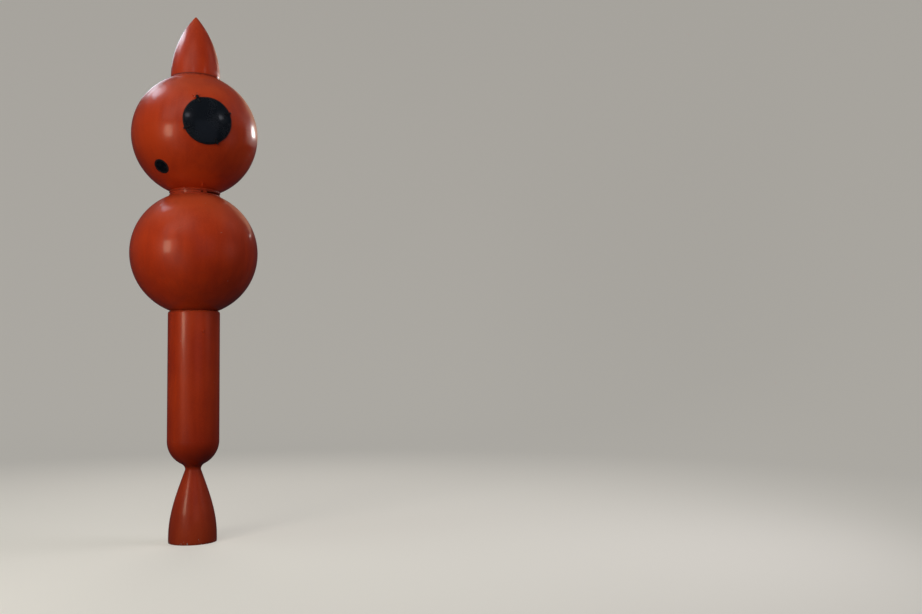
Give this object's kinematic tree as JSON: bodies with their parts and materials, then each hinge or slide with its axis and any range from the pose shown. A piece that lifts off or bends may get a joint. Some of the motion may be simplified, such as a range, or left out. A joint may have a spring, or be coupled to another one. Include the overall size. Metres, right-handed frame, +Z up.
{
  "type": "space rocket",
  "caption": "Crewed space rocket standing on its nozzle: nose cone, round cabin with a hinged hatch, round tank, straight motor case and bell nozzle.",
  "frame": {"origin": "centre of the nozzle exit, on the floor that it stands on", "axes": "+Z up along the rocket's axis; -Y is the side that the crew hatch faces; +X on the right of a viewer who faces the hatch"},
  "size_m": [1.2916, 1.2938, 5.485],
  "materials": {
    "hull_paint": "orange-red satin-gloss enamel over laminate, with soft highlights and a slight unevenness",
    "hatch_gloss": "blue-black gloss, domed",
    "port_gloss": "blue-black gloss pane",
    "dark_steel": "black satin paint on steel, worn at the edges",
    "pin_steel": "plain turned steel"
  },
  "bodies": {
    "rocket": {"nose_cone": "hull_paint", "nose_collar": "hull_paint", "cabin_upper_shell": "hull_paint", "cabin_lower_shell": "hull_paint", "hatch_coaming": "hull_paint", "latch_keeper_1": "hull_paint", "latch_keeper_2": "hull_paint", "latch_keeper_3": "hull_paint", "hinge_bracket": "hull_paint", "hinge_pin": "pin_steel", "porthole_rim": "dark_steel", "porthole_pane": "port_gloss", "cabin_bulkhead": "hull_paint", "neck_ring": "hull_paint", "tank_flange": "hull_paint", "tank": "hull_paint", "motor_case": "hull_paint", "motor_aft_dome": "hull_paint", "nozzle_throat": "hull_paint", "nozzle_bell": "hull_paint", "cabin_eye_1": "hull_paint", "cabin_eye_2": "hull_paint", "cabin_eye_3": "hull_paint", "motor_eye_1": "hull_paint", "motor_eye_2": "hull_paint", "motor_eye_3": "hull_paint"},
    "hatch": {"crew_hatch": "hatch_gloss", "hinge_leaf": "dark_steel", "hatch_latch_1": "dark_steel", "hatch_latch_2": "dark_steel", "hatch_latch_3": "dark_steel"}
  },
  "joints": [
    {"name": "hatch_hinge", "type": "hinge", "parent": "rocket", "child": "hatch", "pos_m": [-0.10447, -0.59717, 4.47451], "axis": [-0.9171, -0.0167, -0.3984], "range_deg": [0, 110]}
  ]
}
